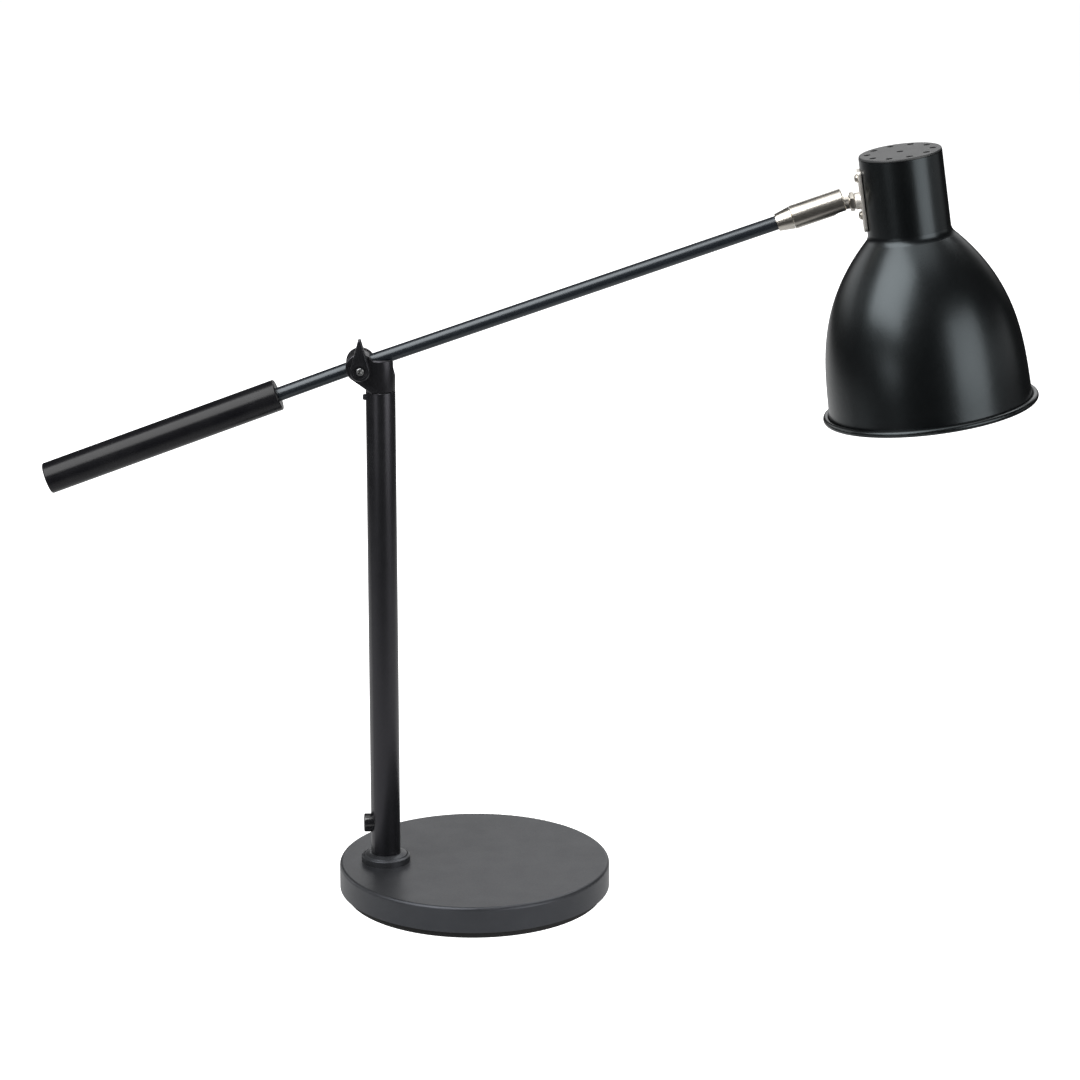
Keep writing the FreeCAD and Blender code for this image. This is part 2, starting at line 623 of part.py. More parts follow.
def wing_knob():
    """Drop-shaped clamping knob with a bevelled face and a recess round the bolt."""
    shoulder = KNOB_BACK + KNOB_BOSS_LENGTH
    wing = teardrop(KNOB_RADIUS, KNOB_TIP_RADIUS, shoulder, KNOB_FRONT)
    face = [e for e in wing.Edges
            if all(abs(v.Point.z - KNOB_FRONT) < 1e-6 for v in e.Vertexes)]
    wing = wing.makeChamfer(0.7, face)
    boss = disc(KNOB_BOSS_DIAMETER / 2, KNOB_BACK, shoulder + 1)
    recess = disc(KNOB_RECESS_DIAMETER / 2, KNOB_FRONT - KNOB_RECESS_DEPTH, KNOB_FRONT + 1)
    bore = disc(BOLT_R, KNOB_BACK - 1, KNOB_FRONT + 1)
    return placed(wing.fuse(boss).cut([recess, bore]), pivot_frame())


# --- arm and counterweight -----------------------------------------------------------------
def arm_hub():
    """Round hub between the ears that joins the arm tube and the tail rod."""
    hub = crosswise(HUB_DIAMETER / 2, PIVOT, -HUB_WIDTH / 2, HUB_WIDTH / 2)
    front = placed(disc(ARM_R, ROD_GRIP, HUB_DIAMETER), ARM_FRAME)
    back = placed(disc(ARM_R, ROD_GRIP, HUB_DIAMETER), TAIL_FRAME)
    bolt_hole = crosswise(BOLT_R + BOLT_CLEARANCE, PIVOT, -HUB_WIDTH, HUB_WIDTH)
    wire_start = PIVOT + slope(ARM_RISE) * (ROD_GRIP + 2.2)
    wires = Part.makeCylinder(1.8, HUB_DIAMETER, wire_start, slope(ARM_RISE - 90))
    return hub.cut([front, back, bolt_hole, wires])


def friction_washers():
    """Thin friction washer on each side of the hub."""
    outer = HUB_DIAMETER / 2 - 0.6
    near = ring(outer, BOLT_R + BOLT_CLEARANCE, HUB_WIDTH / 2, HUB_WIDTH / 2 + FRICTION_DISC)
    far = ring(outer, BOLT_R + BOLT_CLEARANCE, -HUB_WIDTH / 2 - FRICTION_DISC, -HUB_WIDTH / 2)
    return Part.makeCompound([placed(near, pivot_frame()), placed(far, pivot_frame())])


def arm_tube():
    """Front tube of the arm, from the hub to the swivel's collar, with its wire hole."""
    tube = ring(ARM_R, ARM_R - ARM_WALL, ROD_GRIP, ARM_LENGTH + TUBE_SOCKET)
    tube = placed(tube, ARM_FRAME)
    wire_start = PIVOT + slope(ARM_RISE) * (ROD_GRIP + 2.2)
    wires = Part.makeCylinder(1.8, HUB_DIAMETER, wire_start, slope(ARM_RISE - 90))
    return tube.cut(wires)


def tail_rod():
    """Short rod that carries the counterweight."""
    return placed(disc(ARM_R, ROD_GRIP, TAIL_LENGTH + COUNTERWEIGHT_SOCKET), TAIL_FRAME)


def counterweight():
    """Long round steel weight with rounded ends."""
    radius = COUNTERWEIGHT_DIAMETER / 2
    end = TAIL_LENGTH + COUNTERWEIGHT_LENGTH
    bar = disc(radius, TAIL_LENGTH, end)
    rims = rim_edges(bar, radius, TAIL_LENGTH) + rim_edges(bar, radius, end)
    bar = bar.makeFillet(COUNTERWEIGHT_EDGE, rims)
    return placed(bar.cut(disc(ARM_R, 0, TAIL_LENGTH + COUNTERWEIGHT_SOCKET)), TAIL_FRAME)


# --- swivel and ball joint -----------------------------------------------------------------
def swivel_collar():
    """Tapered collar on the end of the arm tube."""
    start = COLLAR_START_DIAMETER / 2
    step = ARM_LENGTH + TUBE_SOCKET
    bolt = SWIVEL_BOLT_DIAMETER / 2
    body = turned([(ARM_R, ARM_LENGTH), (start, ARM_LENGTH), (BARREL_R - 0.5, COLLAR_END - 1.2),
                   (BARREL_R - 0.3, COLLAR_END), (bolt, COLLAR_END), (bolt, step),
                   (ARM_R, step)])
    return placed(body, ARM_FRAME)


def swivel_bolt():
    """Hollow bolt that holds the barrel to the collar and lets it turn."""
    shank = SWIVEL_BOLT_DIAMETER / 2
    under = BARREL_START + FINE + BARREL_PLUG_LENGTH + FINE
    top = under + SWIVEL_HEAD_HEIGHT
    body = turned([(STEM_BORE / 2, ARM_LENGTH + TUBE_SOCKET), (shank, ARM_LENGTH + TUBE_SOCKET),
                   (shank, under), (SWIVEL_BOLT_HEAD / 2, under), (SWIVEL_BOLT_HEAD / 2, top),
                   (STEM_BORE / 2, top)])
    return placed(body, ARM_FRAME)


def stem_slot():
    """Space that the stem's neck sweeps as it folds down through the barrel's side."""
    centre = Vector(0, 0, BALL_PLACE)
    reach = 2 * BARREL_R
    fan = [(0, BALL_PLACE)]
    for part in range(3):
        fold = math.radians(STEM_LOWEST * part / 2)
        fan.append((-reach * math.sin(fold), BALL_PLACE + reach * math.cos(fold)))
    folded = Vector(-math.sin(fold), 0, math.cos(fold))
    return plate(fan, -MOUTH_R, MOUTH_R).fuse(Part.makeCylinder(MOUTH_R, reach, centre, folded))


def swivel_barrel():
    """Turning barrel: bored from behind, ball seat at the mouth, slot for the stem."""
    shell = disc(BARREL_R, BARREL_START, BARREL_END)
    shell = shell.makeChamfer(0.7, rim_edges(shell, BARREL_R, BARREL_END))
    shell = shell.makeChamfer(0.3, rim_edges(shell, BARREL_R, BARREL_START))
    bore = disc(BARREL_BORE_R, BARREL_START - 1, BALL_PLACE)
    ball = Part.makeSphere(SOCKET_R, Vector(0, 0, BALL_PLACE))
    mouth = disc(MOUTH_R, BALL_PLACE, BARREL_END + 1)
    return placed(shell.cut([bore, ball, mouth, stem_slot()]), SWIVEL_FRAME)


def barrel_plug():
    """Threaded ring that closes the barrel and turns on the hollow bolt."""
    start = BARREL_START + FINE
    plug = ring(BARREL_BORE_R, SWIVEL_BOLT_DIAMETER / 2 + BALL_CLEARANCE, start,
                start + BARREL_PLUG_LENGTH)
    return placed(plug, SWIVEL_FRAME)


def spring_start():
    """Place of the spring washers, just clear of the hollow bolt's head."""
    return BARREL_START + BARREL_PLUG_LENGTH + SWIVEL_HEAD_HEIGHT + 3 * FINE


def ball_spring():
    """Pair of coned spring washers, face to face, that load the ball."""
    low = spring_start()
    mid = low + 2.0
    high = mid + 2.0
    wide = BARREL_BORE_R - 0.3
    narrow = STEM_BORE / 2 + 1.0
    first = turned([(narrow, low), (narrow + 0.4, low), (wide, mid - 0.7), (wide, mid),
                    (wide - 0.4, mid), (narrow, low + 0.7)])
    second = turned([(wide, mid), (wide, mid + 0.7), (narrow + 0.4, high), (narrow, high),
                     (narrow, high - 0.7), (wide - 0.4, mid)])
    return Part.makeCompound([placed(first, SWIVEL_FRAME), placed(second, SWIVEL_FRAME)])


def ball_seat():
    """Cupped seat between the spring washers and the ball."""
    low = spring_start() + 4.0
    cup = ring(BARREL_BORE_R, STEM_BORE / 2 + 1.0, low, BALL_PLACE - 2.0)
    return placed(cup.cut(Part.makeSphere(SOCKET_R, Vector(0, 0, BALL_PLACE))), SWIVEL_FRAME)


def ball_stem():
    """Ball with its neck and threaded end, bored for the wires."""
    ball = Part.makeSphere(BALL_R, Vector(0, 0, 0))
    neck = disc(STEM_R, BALL_R * 0.5, LOCK_NUT_PLACE)
    thread = disc(STEM_THREAD / 2, LOCK_NUT_PLACE - 1, PLATE_PLACE + PLATE_THICKNESS + 2.6)
    bore = disc(STEM_BORE / 2, -BALL_R - 1, PLATE_PLACE + PLATE_THICKNESS + 4)
    funnel = Part.makeCone(BALL_R * 0.55, STEM_BORE / 2, BALL_R * 0.5, Vector(0, 0, -BALL_R), UP)
    return placed(ball.fuse([neck, thread]).cut([bore, funnel]), STEM_FRAME)


def stem_lock_nut():
    """Hexagon lock nut behind the plate's boss."""
    nut = hex_nut(LOCK_NUT_WIDTH, STEM_THREAD / 2, LOCK_NUT_PLACE,
                  LOCK_NUT_PLACE + LOCK_NUT_HEIGHT)
    return placed(nut, STEM_FRAME)


# --- shade -------------------------------------------------------------------------------
def plate_screw_heights():
    """Distances of the two plate screws below the cap."""
    return [PLATE_DROP - SCREW_ABOVE, PLATE_DROP + SCREW_BELOW]


def sideways(shape, height):
    """A piece turned about Z laid along the shade's local X at a height below the cap."""
    side = Placement(Vector(0, 0, height), Rotation(Vector(0, 1, 0), -90))
    return placed(shape, side)


def neck_holes(clearance):
    """Holes for the stem and both plate screws through the neck's near side."""
    cuts = [sideways(disc(STEM_THREAD / 2 + 0.3, NECK_R / 2, NECK_R * 2), PLATE_DROP)]
    for height in plate_screw_heights():
        screw = disc(SCREW_DIAMETER / 2 + clearance, NECK_R / 2, NECK_R * 2)
        cuts.append(sideways(screw, height))
    return cuts


def shade_plate():
    """Nickel plate with a tapped boss, hollowed on its inner side to sit on the neck."""
    top = PLATE_DROP - PLATE_LENGTH / 2
    bottom = PLATE_DROP + PLATE_LENGTH / 2
    half = PLATE_WIDTH / 2
    body = block((-PLATE_OUTER, -PLATE_OUTER + PLATE_THICKNESS), (-half, half), (top, bottom))
    ends = [e for e in body.Edges if abs(abs(e.CenterOfMass.y) - half) < 1e-6
            and abs(e.CenterOfMass.x + PLATE_OUTER - PLATE_THICKNESS / 2) < 1e-6]
    body = body.makeFillet(2.5, ends)
    boss = disc(BOSS_DIAMETER / 2, PLATE_OUTER - 1, PLATE_OUTER + BOSS_LENGTH)
    rim = rim_edges(boss, BOSS_DIAMETER / 2, PLATE_OUTER + BOSS_LENGTH)
    body = body.fuse(sideways(boss.makeFillet(0.9, rim), PLATE_DROP))
    cuts = [disc(NECK_R, top - 1, bottom + 1)]
    cuts.append(sideways(disc(STEM_THREAD / 2 + BALL_CLEARANCE, 0, NECK_R * 2), PLATE_DROP))
    for height in plate_screw_heights():
        cuts.append(sideways(disc(SCREW_DIAMETER / 2, 0, NECK_R * 2), height))
    return placed(body.cut(cuts), SHADE_FRAME)


def plate_screws():
    """Two round-headed screws through the plate, the neck and the strap inside."""
    inner = NECK_BORE_R - STRAP_THICKNESS
    top = PLATE_OUTER + SCREW_HEAD_HEIGHT
    head = SCREW_HEAD / 2
    shank = SCREW_DIAMETER / 2
    screw = turned([(0, inner), (shank, inner), (shank, PLATE_OUTER), (head, PLATE_OUTER),
                    (head, top - 1.3), (head * 0.6, top), (0, top)])
    slot = block((-head, head), (-0.35, 0.35), (top - 0.8, top + 1))
    screw = screw.cut(slot)
    pair = [placed(sideways(screw, height), SHADE_FRAME) for height in plate_screw_heights()]
    return Part.makeCompound(pair)


def bell_edges(inset, top):
    """Neck, shoulder and bell curve, moved inwards by a wall, from a height to the rim."""
    lean = math.radians(SHOULDER_ANGLE)
    flare = math.radians(BELL_FLARE)
    radius = NECK_R - inset
    bend = SHOULDER_RADIUS + inset
    centre = Vector(NECK_R + SHOULDER_RADIUS, 0, NECK_LENGTH)
    start = Vector(radius, 0, NECK_LENGTH)
    middle = centre + Vector(-math.cos(lean / 2), 0, math.sin(lean / 2)) * bend
    end = centre + Vector(-math.cos(lean), 0, math.sin(lean)) * bend
    mouth = Vector(BELL_DIAMETER / 2 - inset * math.cos(flare), 0,
                   BELL_LENGTH + inset * math.sin(flare))
    curve = Part.BezierCurve()
    pull_start = Vector(math.sin(lean), 0, math.cos(lean)) * SHOULDER_PULL
    pull_end = Vector(math.sin(flare), 0, math.cos(flare)) * MOUTH_PULL
    curve.setPoles([end, end + pull_start, mouth - pull_end, mouth])
    line = Part.makeLine(Vector(radius, 0, top), start)
    return [line, Part.Arc(start, middle, end).toShape(), curve.toShape()]


def shade():
    """Spun aluminium bell: straight neck, small shoulder, full curve and rolled rim."""
    top = CAP_THICKNESS + CAP_SEAM
    outer = bell_edges(0, top)
    inner = bell_edges(SHADE_WALL, top)
    brim = Part.makeLine(outer[2].lastVertex().Point, inner[2].lastVertex().Point)
    crown = Part.makeLine(Vector(NECK_R, 0, top), Vector(NECK_BORE_R, 0, top))
    shell = turned_edges(outer + inner + [brim, crown])
    rim_middle = BELL_DIAMETER / 2 + RIM_RADIUS - 0.25
    bead = Part.makeTorus(rim_middle, RIM_RADIUS, Vector(0, 0, BELL_LENGTH), UP)
    body = shell.fuse(bead).cut(neck_holes(0.2))
    return placed(body, SHADE_FRAME)


def shade_cap():
    """Vented cap on the neck: a ring of round holes, one in the middle, and a skirt."""
    lid = disc(CAP_DIAMETER / 2, 0, CAP_THICKNESS)
    lid = lid.makeFillet(CAP_EDGE, rim_edges(lid, CAP_DIAMETER / 2, 0))
    skirt = ring(NECK_BORE_R, NECK_BORE_R - CAP_SKIRT_WALL, CAP_THICKNESS - 0.5,
                 CAP_THICKNESS + CAP_SKIRT)
    cap = lid.fuse(skirt)
    vent = disc(VENT_DIAMETER / 2, -1, CAP_THICKNESS + 1)
    vents = [vent]
    for number in range(VENT_COUNT):
        angle = math.radians(VENT_TURN + number * 360 / VENT_COUNT)
        place = Vector(math.cos(angle), math.sin(angle), 0) * (VENT_CIRCLE / 2)
        vents.append(vent.translated(place))
    return placed(cap.cut(vents), SHADE_FRAME)


# --- lampholder and bulb --------------------------------------------------------------------
def holder_strap():
    """Bent strap inside the neck: its long leg takes the plate screws, its top the holder."""
    half = STRAP_WIDTH / 2
    low = STRAP_TOP
    leg = ring(NECK_BORE_R, NECK_BORE_R - STRAP_THICKNESS, low, low + STRAP_LENGTH)
    leg = leg.common(block((-NECK_R, 0), (-half, half), (low, low + STRAP_LENGTH)))
    shelf = block((-NECK_R, STRAP_OVERHANG), (-half, half), (low, low + STRAP_THICKNESS))
    shelf = shelf.common(disc(NECK_BORE_R, low, low + STRAP_THICKNESS))
    body = leg.fuse(shelf).removeSplitter()
    cuts = [disc(NIPPLE_DIAMETER / 2, low - 1, low + 5)]
    cuts.append(sideways(disc(STEM_THREAD / 2 + 0.3, NECK_R / 2, NECK_R * 2), PLATE_DROP))
    for height in plate_screw_heights():
        cuts.append(sideways(disc(SCREW_DIAMETER / 2, NECK_R / 2, NECK_R * 2), height))
    return placed(body.cut(cuts), SHADE_FRAME)


def holder_nipple():
    """Short hollow threaded rod through the strap into the lampholder."""
    low = STRAP_TOP - HOLDER_NUT_HEIGHT - 0.8
    rod = ring(NIPPLE_DIAMETER / 2, NIPPLE_BORE / 2, low,
               HOLDER_TOP + HOLDER_TAP_DEPTH)
    return placed(rod, SHADE_FRAME)


def holder_nut():
    """Nut on top of the strap."""
    nut = hex_nut(HOLDER_NUT_WIDTH, NIPPLE_DIAMETER / 2, STRAP_TOP - HOLDER_NUT_HEIGHT,
                  STRAP_TOP)
    return placed(nut, SHADE_FRAME)


def lampholder():
    """Screw lampholder: domed top tapped for the nipple, open socket below."""
    radius = HOLDER_DIAMETER / 2
    tap = NIPPLE_DIAMETER / 2
    socket = BULB_CAP_DIAMETER / 2
    roof = HOLDER_TOP + HOLDER_TAP_DEPTH
    body = turned([(tap, HOLDER_TOP), (tap + 4.5, HOLDER_TOP), (radius - 1.0, HOLDER_TOP + HOLDER_DOME),
                   (radius, HOLDER_TOP + HOLDER_DOME + 2.0), (radius, HOLDER_MOUTH - 0.8),
                   (radius - 0.8, HOLDER_MOUTH), (socket, HOLDER_MOUTH), (socket, BULB_CAP_TOP),
                   (tap - 2.0, BULB_CAP_TOP), (tap - 2.0, roof), (tap, roof)])
    return placed(body, SHADE_FRAME)


def bulb_cap():
    """Metal screw cap of the bulb, down to its contact."""
    radius = BULB_CAP_DIAMETER / 2
    body = turned([(0, BULB_CAP_TOP), (5.0, BULB_CAP_TOP), (radius, BULB_CAP_TOP + 5.0),
                   (radius, GLASS_TOP), (radius - BULB_CAP_WALL, GLASS_TOP),
                   (radius - BULB_CAP_WALL, BULB_CAP_TOP + 6.0), (0, BULB_CAP_TOP + 1.0)])
    return placed(body, SHADE_FRAME)


def glass_edges(inset):
    """Half outline of the bulb's glass, moved inwards by its wall."""
    globe = BULB_DIAMETER / 2
    radius = globe - inset
    centre = Vector(0, 0, GLASS_TOP + BULB_LENGTH - globe)
    neck = Vector(BULB_CAP_DIAMETER / 2 - inset, 0, GLASS_TOP)
    side = math.radians(25)
    join = centre + Vector(math.cos(side), 0, -math.sin(side)) * radius
    under = centre + Vector(math.cos(side), 0, math.sin(side)) * radius
    pole = centre + Vector(0, 0, radius)
    pull = Vector(math.sin(side), 0, math.cos(side)) * (BULB_LENGTH * 0.22)
    curve = Part.BezierCurve()
    curve.setPoles([neck, neck + Vector(0, 0, BULB_LENGTH * 0.15), join - pull, join])
    return [curve.toShape(), Part.Arc(join, under, pole).toShape()]


def bulb_glass():
    """Thin glass of the bulb."""
    outer = glass_edges(0)
    inner = glass_edges(BULB_WALL)
    lip = Part.makeLine(outer[0].firstVertex().Point, inner[0].firstVertex().Point)
    pole = Part.makeLine(outer[1].lastVertex().Point, inner[1].lastVertex().Point)
    return placed(turned_edges(outer + inner + [lip, pole]), SHADE_FRAME)


PIECES = [
    base_cover, base_weight, base_pad, cable_inlet,
    column_flange, column_tube, column_plug, column_nipple, column_washer, column_nut,
    switch_body, switch_button,
    bracket, bracket_screw, pivot_bolt, pivot_nut, knob_washer, wing_knob,
    arm_hub, friction_washers, arm_tube, tail_rod, counterweight,
    swivel_collar, swivel_bolt, swivel_barrel, barrel_plug, ball_spring, ball_seat,
    ball_stem, stem_lock_nut,
    shade_plate, plate_screws, shade, shade_cap,
    holder_strap, holder_nipple, holder_nut, lampholder, bulb_cap, bulb_glass,
]


def main():
    os.makedirs("parts", exist_ok=True)
    for piece in PIECES:
        shape = piece()
        if not shape.isValid():
            print("not valid:", piece.__name__)
        shape.exportStep("parts/" + piece.__name__ + ".step")


main()
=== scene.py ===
import bpy
import json
from mathutils import Matrix, Vector

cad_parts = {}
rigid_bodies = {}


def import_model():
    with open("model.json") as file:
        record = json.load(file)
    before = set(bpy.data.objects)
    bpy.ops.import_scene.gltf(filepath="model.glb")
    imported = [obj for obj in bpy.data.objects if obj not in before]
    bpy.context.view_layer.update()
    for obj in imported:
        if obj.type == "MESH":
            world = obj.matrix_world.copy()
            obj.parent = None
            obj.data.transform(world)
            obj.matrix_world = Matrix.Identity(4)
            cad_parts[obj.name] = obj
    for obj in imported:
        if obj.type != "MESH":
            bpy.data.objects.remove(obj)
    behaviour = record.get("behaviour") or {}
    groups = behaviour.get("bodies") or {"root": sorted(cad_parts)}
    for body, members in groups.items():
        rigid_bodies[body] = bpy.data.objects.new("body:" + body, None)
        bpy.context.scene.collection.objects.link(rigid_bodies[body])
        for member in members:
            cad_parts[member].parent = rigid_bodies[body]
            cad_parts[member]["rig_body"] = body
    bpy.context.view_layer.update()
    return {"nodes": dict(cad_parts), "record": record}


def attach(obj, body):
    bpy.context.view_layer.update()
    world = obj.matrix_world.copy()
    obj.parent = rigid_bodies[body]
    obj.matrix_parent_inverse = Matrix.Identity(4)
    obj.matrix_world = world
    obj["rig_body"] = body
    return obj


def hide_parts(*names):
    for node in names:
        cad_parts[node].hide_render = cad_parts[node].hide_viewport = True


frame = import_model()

# Counterweight desk lamp: finishes, rounded edges, studio and camera.
# Metres, in the same place as the solids: origin on the desk under the middle of the base,
# +Z up, +X towards the shade.

NODES = frame["nodes"]


# --- studio ------------------------------------------------------------------------------
FLOOR_COLOUR = (0.86, 0.86, 0.86, 1)
FLOOR_SIZE = 24
FLOOR_SQUARES = 4
WHITE = (1, 1, 1, 1)
FLOOR_SHOWS_WHITE = 0.86     # share of plain white that the eye sees over the soft shadow
FLOOR_FAR = (0.25, 0.9)      # distances between which the shadow fades out

# What polished parts see of the floor: a white sweep that comes up between each pair of
# places, the first of a pair being the dim one.
SWEEP_FRONT = (-0.6, -0.15)
SWEEP_BACK = (2.6, 1.6)
SWEEP_RIGHT = (0.9, 0.35)
SWEEP_LEFT = (-1.15, -0.4)
SWEEP_LIGHT = 0.85

# What they see of the room, by direction in the same way: a back wall in two panels with a
# dark gap between them, and an overhead softbox.
ROOM_BACK = (-0.1, 0.6)
ROOM_RIGHT = (0.7, 0.25)
ROOM_GAP = (-0.24, -0.08)    # left edge of the middle panel
ROOM_LEFT = (-0.4, -0.6)     # right edge of the left panel
ROOM_HORIZON = (-0.02, 0.2)
ROOM_TOP = (0.56, 0.34)
ROOM_WALL = 1.45
CEILING = (0.84, 0.97)
CEILING_LIGHT = 2.0
ROOM_DIM = 0.02              # everywhere else, on the floor and in the room
ROOM_LIGHT = 0.4             # the room as a soft light on matt parts


def add_node(tree, kind, **values):
    """A node with its settings and the plain values of its sockets."""
    made = tree.nodes.new(kind)
    for name, value in values.items():
        if name in made.inputs:
            made.inputs[name].default_value = value
        elif name.replace("_", " ") in made.inputs:
            made.inputs[name.replace("_", " ")].default_value = value
        else:
            setattr(made, name, value)
    return made


def ramp(tree, source, start, end, low=0.0, high=1.0):
    """Soft step from the low value to the high one as the source goes from start to end."""
    made = add_node(tree, "ShaderNodeMapRange", interpolation_type="SMOOTHSTEP")
    for name, value in (("From Min", start), ("From Max", end), ("To Min", low), ("To Max", high)):
        made.inputs[name].default_value = value
    tree.links.new(source, made.inputs["Value"])
    return made.outputs["Result"]


def maths(tree, operation, first, second):
    """Sum, product or other pairing of two values, each a number or a node's output."""
    made = add_node(tree, "ShaderNodeMath", operation=operation)
    for socket, value in zip(made.inputs, (first, second)):
        if isinstance(value, float):
            socket.default_value = value
        else:
            tree.links.new(value, socket)
    return made.outputs[0]


def compass(tree, output):
    """X, Y and Z of a place on the floor or a direction in the room."""
    place = add_node(tree, "ShaderNodeTexCoord")
    split = add_node(tree, "ShaderNodeSeparateXYZ")
    tree.links.new(place.outputs[output], split.inputs[0])
    return split.outputs


def white_floor():
    """Pale floor under the lamp: white to the eye, with the lamp's soft shadow on it.

    Polished parts see it as white near the lamp and dim further off.
    """
    bpy.ops.mesh.primitive_grid_add(x_subdivisions=FLOOR_SQUARES, y_subdivisions=FLOOR_SQUARES,
                                    size=FLOOR_SIZE)
    floor = bpy.context.object
    floor.name = "floor"
    pale = bpy.data.materials.new("pale_floor")
    pale.use_nodes = True
    tree = pale.node_tree
    tree.nodes.clear()
    path = add_node(tree, "ShaderNodeLightPath")
    x, y, _ = compass(tree, "Object")
    near = maths(tree, "MULTIPLY", ramp(tree, y, *SWEEP_FRONT), ramp(tree, y, *SWEEP_BACK))
    wide = maths(tree, "MULTIPLY", ramp(tree, x, *SWEEP_LEFT), ramp(tree, x, *SWEEP_RIGHT))
    patch = maths(tree, "MULTIPLY", maths(tree, "MULTIPLY", near, wide), SWEEP_LIGHT)
    patch = maths(tree, "MAXIMUM", patch, ROOM_DIM)
    glossy = path.outputs["Is Glossy Ray"]
    shown = maths(tree, "ADD", maths(tree, "SUBTRACT", 1.0, glossy), patch)
    matt = add_node(tree, "ShaderNodeBsdfDiffuse", Color=FLOOR_COLOUR)
    white = add_node(tree, "ShaderNodeEmission", Color=WHITE)
    tree.links.new(shown, white.inputs["Strength"])
    place = add_node(tree, "ShaderNodeTexCoord")
    away = add_node(tree, "ShaderNodeVectorMath", operation="LENGTH")
    tree.links.new(place.outputs["Object"], away.inputs[0])
    clear = ramp(tree, away.outputs["Value"], *FLOOR_FAR, low=FLOOR_SHOWS_WHITE)
    eye = maths(tree, "MULTIPLY", path.outputs["Is Camera Ray"], clear)
    mirrors = maths(tree, "ADD", glossy, path.outputs["Is Transmission Ray"])
    both = add_node(tree, "ShaderNodeMixShader")
    out = add_node(tree, "ShaderNodeOutputMaterial")
    tree.links.new(maths(tree, "ADD", eye, mirrors), both.inputs[0])
    tree.links.new(matt.outputs[0], both.inputs[1])
    tree.links.new(white.outputs[0], both.inputs[2])
    tree.links.new(both.outputs[0], out.inputs[0])
    floor.data.materials.append(pale)


def studio_world():
    """Pale room: white to the eye, softer as a light, dim behind the camera to polished parts."""
    world = bpy.data.worlds.new("room")
    bpy.context.scene.world = world
    world.use_nodes = True
    tree = world.node_tree
    tree.nodes.clear()
    path = add_node(tree, "ShaderNodeLightPath")
    x, y, z = compass(tree, "Generated")
    middle = maths(tree, "MULTIPLY", ramp(tree, x, *ROOM_GAP), ramp(tree, x, *ROOM_RIGHT))
    panels = maths(tree, "ADD", middle, ramp(tree, x, *ROOM_LEFT))
    behind = maths(tree, "MULTIPLY", ramp(tree, y, *ROOM_BACK), panels)
    band = maths(tree, "MULTIPLY", ramp(tree, z, *ROOM_HORIZON), ramp(tree, z, *ROOM_TOP))
    above = maths(tree, "MULTIPLY", ramp(tree, z, *CEILING), CEILING_LIGHT)
    wall = maths(tree, "MULTIPLY", maths(tree, "MULTIPLY", behind, band), ROOM_WALL)
    lit = maths(tree, "MAXIMUM", wall, above)
    mirrored = maths(tree, "ADD", lit, ROOM_DIM)
    shaders = []
    for strength in (ROOM_LIGHT, mirrored, 1.0):
        back = add_node(tree, "ShaderNodeBackground", Color=WHITE)
        if isinstance(strength, float):
            back.inputs["Strength"].default_value = strength
        else:
            tree.links.new(strength, back.inputs["Strength"])
        shaders.append(back.outputs[0])
    seen = maths(tree, "ADD", path.outputs["Is Camera Ray"], path.outputs["Is Transmission Ray"])
    last = shaders[0]
    for share, shader in ((path.outputs["Is Glossy Ray"], shaders[1]), (seen, shaders[2])):
        both = add_node(tree, "ShaderNodeMixShader")
        tree.links.new(share, both.inputs[0])
        tree.links.new(last, both.inputs[1])
        tree.links.new(shader, both.inputs[2])
        last = both.outputs[0]
    out = add_node(tree, "ShaderNodeOutputWorld")
    tree.links.new(last, out.inputs[0])


def soft_light(name, place, target, width, height, power):
    """Rectangular studio light that faces a point."""
    data = bpy.data.lights.new(name, "AREA")
    data.shape = "RECTANGLE"
    data.size = width
    data.size_y = height
    data.energy = power
    light = bpy.data.objects.new(name, data)
    bpy.context.collection.objects.link(light)
    light.location = place
    light.rotation_euler = (Vector(target) - Vector(place)).to_track_quat("-Z", "Y").to_euler()
    light.visible_camera = False


# name, place, point it faces, width, height, watts
LIGHTS = (("key_light", (-0.74, -0.66, 1.5), (0.25, 0, 0.4), 1.4, 1.5, 42),
          ("side_light", (2.0, -1.55, 0.8), (0.1, 0, 0.3), 1.7, 1.7, 35),
          ("edge_light", (2.3, 0.2, 0.5), (0.3, 0, 0.4), 1.6, 0.6, 1.6),
          ("low_light", (-1.2, -1.5, 0.3), (-0.1, 0, 0.3), 0.8, 0.3, 2.2),
          ("back_light", (0.9, 1.3, 2.1), (0, 0, 0.2), 1.6, 0.8, 18))

LENS = 166.67                # millimetres, on film of the width below
FILM = 36
FARTHEST_SEEN = 60
CAMERA_PLACE = Vector((-0.00122, -3.04373, 1.17702))
CAMERA_RIGHT = Vector((0.9998837, -0.01511798, -0.00200682))
CAMERA_UP = Vector((0.00637081, 0.29450266, 0.95562942))
CAMERA_AHEAD = Vector((0.01385617, 0.95553107, -0.29456472))


def camera():
    """Long lens, three metres off and looking a little down on the lamp."""
    data = bpy.data.cameras.new("camera")
    data.lens = LENS
    data.sensor_width = FILM
    data.clip_end = FARTHEST_SEEN
    view = bpy.data.objects.new("camera", data)
    bpy.context.collection.objects.link(view)
    turn = Matrix((CAMERA_RIGHT, CAMERA_UP, -CAMERA_AHEAD)).transposed()
    view.matrix_world = Matrix.Translation(CAMERA_PLACE) @ turn.to_4x4()
    bpy.context.scene.camera = view


# --- finishes ------------------------------------------------------------------------------
NOISE_MIDDLE = (0.3, 0.7)    # nearly all values of the noise lie between these
SHADE_AXIS = (-0.1339, 0.0390, 0.9902)


def noise(tree, scale, detail=2.0):
    """Noise on the piece's own coordinates, in features per metre."""
    place = add_node(tree, "ShaderNodeTexCoord")
    made = add_node(tree, "ShaderNodeTexNoise", Scale=scale, Detail=detail)
    tree.links.new(place.outputs["Object"], made.inputs["Vector"])
    return made.outputs[0]


